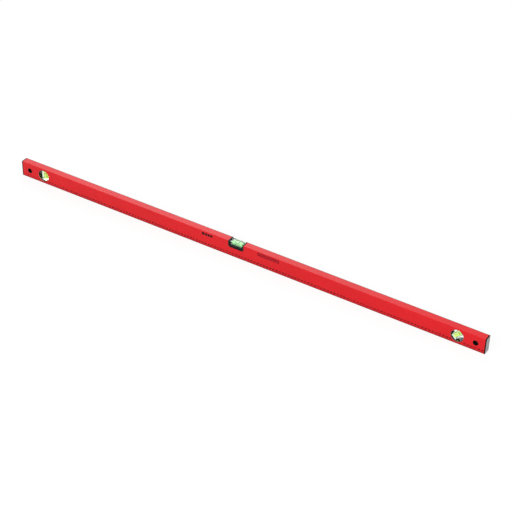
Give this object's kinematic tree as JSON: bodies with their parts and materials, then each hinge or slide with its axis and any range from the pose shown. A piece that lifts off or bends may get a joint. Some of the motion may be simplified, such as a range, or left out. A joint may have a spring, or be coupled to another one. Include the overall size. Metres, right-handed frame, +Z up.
{
  "type": "spirit level",
  "caption": "Long red box-section spirit level with a top-reading centre vial, a plumb vial, an angled vial, capped ends and hang holes.",
  "frame": {"origin": "under the middle of the level, on its flat bottom measuring face", "axes": "+X along the level to the right seen from the front, +Y from the front face to the back face, +Z up"},
  "size_m": [1.5, 0.022, 0.048],
  "materials": {
    "red_coat": "satin",
    "black_plastic": "satin",
    "grey_rubber": "matte",
    "clear_acrylic": "gloss",
    "vial_liquid": "gloss",
    "vial_liquid_centre": "gloss",
    "ring_black": "gloss",
    "air": "gloss"
  },
  "bodies": {
    "level": {"beam_profile": "red_coat", "end_cap_left": "black_plastic", "end_cap_right": "black_plastic", "end_pad_left": "grey_rubber", "end_pad_right": "grey_rubber", "hang_bush_left": "black_plastic", "hang_bush_right": "black_plastic", "centre_frame": "black_plastic", "plumb_housing_front": "black_plastic", "plumb_housing_back": "black_plastic", "angle_housing_front": "black_plastic", "angle_housing_back": "black_plastic", "centre_vial_body": "clear_acrylic", "centre_vial_plug": "clear_acrylic", "centre_vial_rings": "ring_black", "centre_vial_fluid": "vial_liquid_centre", "plumb_vial_body": "clear_acrylic", "plumb_vial_plug": "clear_acrylic", "plumb_vial_rings": "ring_black", "plumb_vial_fluid": "vial_liquid", "angle_vial_body": "clear_acrylic", "angle_vial_plug": "clear_acrylic", "angle_vial_rings": "ring_black", "angle_vial_fluid": "vial_liquid"},
    "centre_bubble": {"centre_vial_bubble": "air"},
    "plumb_bubble": {"plumb_vial_bubble": "air"},
    "angle_bubble": {"angle_vial_bubble": "air"}
  },
  "joints": [
    {"name": "centre_bubble_slide", "type": "slide", "parent": "level", "child": "centre_bubble", "axis": [1, 0, 0], "range_m": [-0.0098, 0.0098], "stiffness_N_per_m": 5},
    {"name": "plumb_bubble_slide", "type": "slide", "parent": "level", "child": "plumb_bubble", "axis": [0, 0, 1], "range_m": [-0.01466, 0], "stiffness_N_per_m": 5, "springref_m": 0.005},
    {"name": "angle_bubble_slide", "type": "slide", "parent": "level", "child": "angle_bubble", "axis": [0.7071, 0, 0.7071], "range_m": [-0.01466, 0], "stiffness_N_per_m": 5, "springref_m": 0.005}
  ]
}
